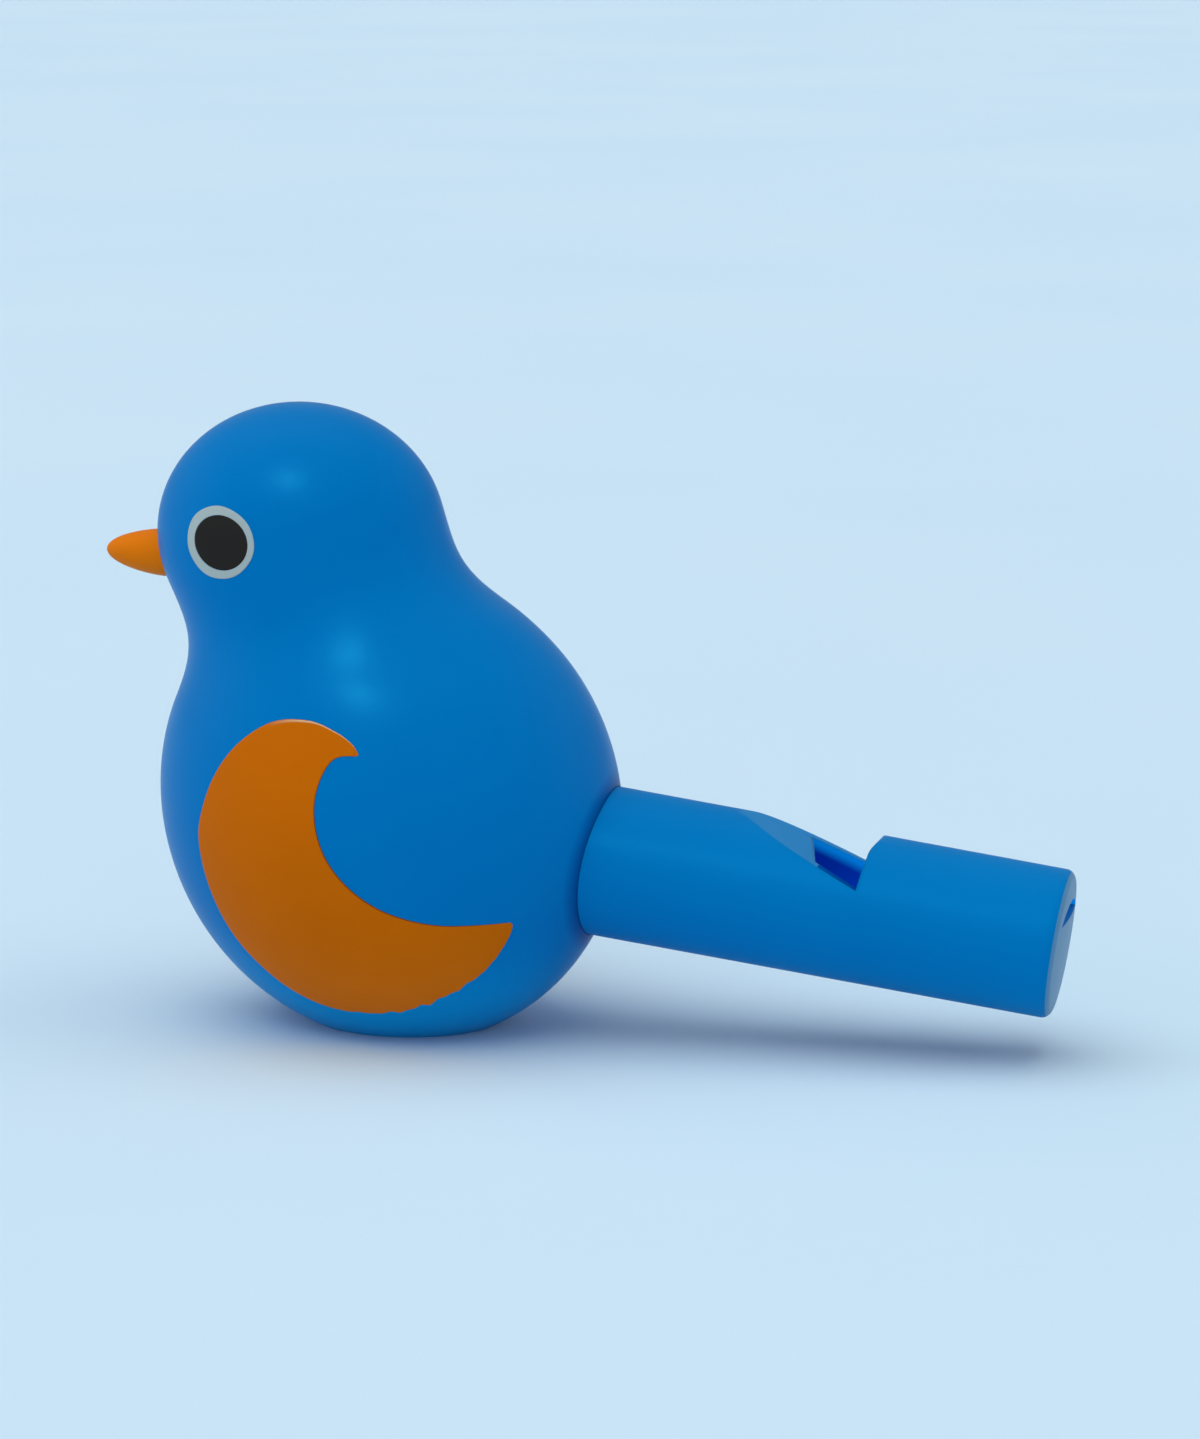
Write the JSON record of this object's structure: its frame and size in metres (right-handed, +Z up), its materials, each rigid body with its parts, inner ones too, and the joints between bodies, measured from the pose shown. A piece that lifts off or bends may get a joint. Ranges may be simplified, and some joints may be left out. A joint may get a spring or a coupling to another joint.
{
  "type": "bird whistle",
  "caption": "Blue plastic bird whistle: a hollow round bird with orange beak and wings, and a duct whistle with mouthpiece for its tail.",
  "frame": {"origin": "on the flat base, below the middle of the bird's body", "axes": "-X is the way the bird faces, +X the way its tail points, +Z up; the bird is symmetric about the plane y = 0"},
  "size_m": [0.1218, 0.0466, 0.0772],
  "materials": {
    "blue_plastic": "smooth satin moulding, bright blue",
    "orange_plastic": "smooth satin orange",
    "ring_white_plastic": "matte greyish white",
    "pupil_black_plastic": "matte black"
  },
  "bodies": {
    "root": {"body_shell": "blue_plastic", "whistle_tube": "blue_plastic", "beak": "orange_plastic", "left_wing": "orange_plastic", "right_wing": "orange_plastic", "left_eye_ring": "ring_white_plastic", "right_eye_ring": "ring_white_plastic", "left_pupil": "pupil_black_plastic", "right_pupil": "pupil_black_plastic"}
  },
  "joints": []
}
